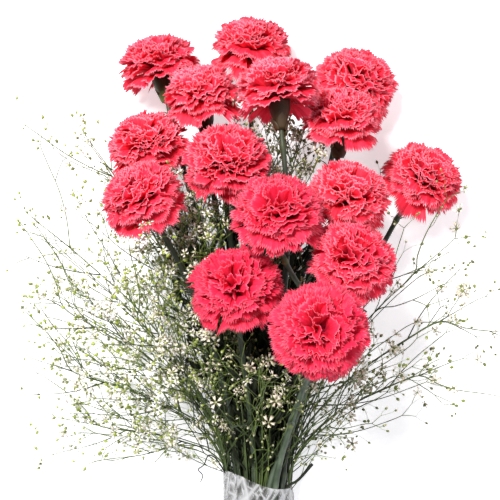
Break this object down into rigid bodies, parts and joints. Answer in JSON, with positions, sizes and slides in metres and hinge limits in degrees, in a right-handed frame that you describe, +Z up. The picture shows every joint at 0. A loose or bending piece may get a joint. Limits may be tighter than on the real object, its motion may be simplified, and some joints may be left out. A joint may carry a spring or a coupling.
{
  "type": "carnation bouquet",
  "caption": "Bouquet of cut coral-pink carnations and baby's breath, its stems gathered in a sleeve of crinkled clear film, lying on its back.",
  "frame": {"origin": "centre of the footprint, on the table that the bouquet lies on", "axes": "+Z up from the table, +Y along the stems from the cut ends to the flowers, +X across the bouquet"},
  "size_m": [0.4278, 0.5506, 0.2254],
  "materials": {
    "petal": "soft matt coral-pink petals, paler at their fringed edges",
    "calyx": "smooth dark green with a faint waxy sheen",
    "stem": "blue-green under a pale waxy bloom",
    "spray": "thin yellow-green stems with green buds and small white flowers",
    "film": "clear crinkled film, glossy",
    "band": "plain tan elastic, matt"
  },
  "bodies": {
    "root": {"carnation_01_bloom": "petal", "carnation_01_calyx": "calyx", "carnation_01_stem": "stem", "carnation_02_bloom": "petal", "carnation_02_calyx": "calyx", "carnation_02_stem": "stem", "carnation_03_bloom": "petal", "carnation_03_calyx": "calyx", "carnation_03_stem": "stem", "carnation_04_bloom": "petal", "carnation_04_calyx": "calyx", "carnation_04_stem": "stem", "carnation_05_bloom": "petal", "carnation_05_calyx": "calyx", "carnation_05_stem": "stem", "carnation_06_bloom": "petal", "carnation_06_calyx": "calyx", "carnation_06_stem": "stem", "carnation_07_bloom": "petal", "carnation_07_calyx": "calyx", "carnation_07_stem": "stem", "carnation_08_bloom": "petal", "carnation_08_calyx": "calyx", "carnation_08_stem": "stem", "carnation_09_bloom": "petal", "carnation_09_calyx": "calyx", "carnation_09_stem": "stem", "carnation_10_bloom": "petal", "carnation_10_calyx": "calyx", "carnation_10_stem": "stem", "carnation_11_bloom": "petal", "carnation_11_calyx": "calyx", "carnation_11_stem": "stem", "carnation_12_bloom": "petal", "carnation_12_calyx": "calyx", "carnation_12_stem": "stem", "carnation_13_bloom": "petal", "carnation_13_calyx": "calyx", "carnation_13_stem": "stem", "carnation_14_bloom": "petal", "carnation_14_calyx": "calyx", "carnation_14_stem": "stem", "carnation_15_bloom": "petal", "carnation_15_calyx": "calyx", "carnation_15_stem": "stem", "babys_breath_01": "spray", "babys_breath_02": "spray", "babys_breath_03": "spray", "babys_breath_04": "spray", "babys_breath_05": "spray", "babys_breath_06": "spray", "babys_breath_07": "spray", "babys_breath_08": "spray", "babys_breath_09": "spray", "babys_breath_10": "spray", "babys_breath_11": "spray", "babys_breath_12": "spray", "babys_breath_13": "spray", "film_sleeve": "film", "elastic_band": "band"}
  },
  "joints": []
}
